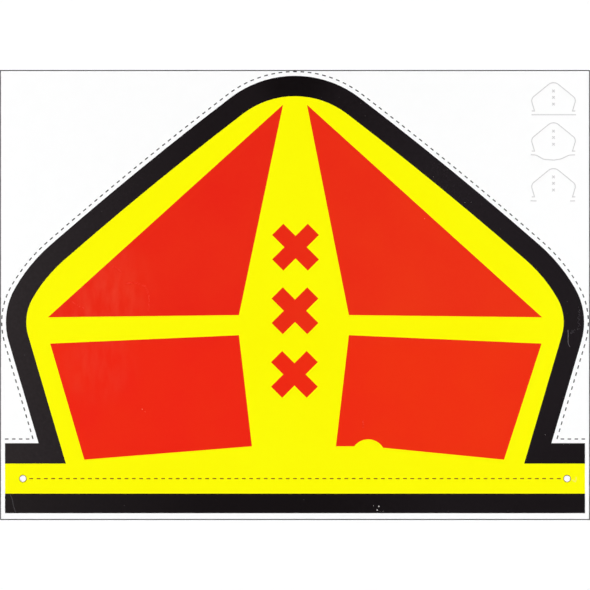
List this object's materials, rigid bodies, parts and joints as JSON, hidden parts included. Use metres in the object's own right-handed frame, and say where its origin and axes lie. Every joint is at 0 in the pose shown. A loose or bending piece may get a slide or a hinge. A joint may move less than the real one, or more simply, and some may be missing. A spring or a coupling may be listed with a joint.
{
  "type": "paper mitre cut-out sheet",
  "caption": "Flat printed paper sheet with the outline of a bishop's mitre to cut out, a band with a dashed head slit and a small round hole at each end of the slit.",
  "frame": {"origin": "middle of the sheet's underside", "axes": "+X along the band to the right, +Y up the mitre towards its crown, +Z out of the printed face"},
  "size_m": [0.295, 0.225, 0.0003],
  "materials": {
    "coated_paper": "smooth coated white paper with a slight sheen",
    "yellow_print": "solid lemon yellow offset print on coated paper",
    "black_print": "solid black offset print on coated paper, slightly warm",
    "red_print": "solid red offset print over yellow",
    "grey_line_print": "thin dark grey printed lines"
  },
  "bodies": {
    "root": {"mitre_sheet": "coated_paper", "yellow_ink": "yellow_print", "black_ink": "black_print", "red_ink": "red_print", "guide_ink": "grey_line_print"}
  },
  "joints": []
}
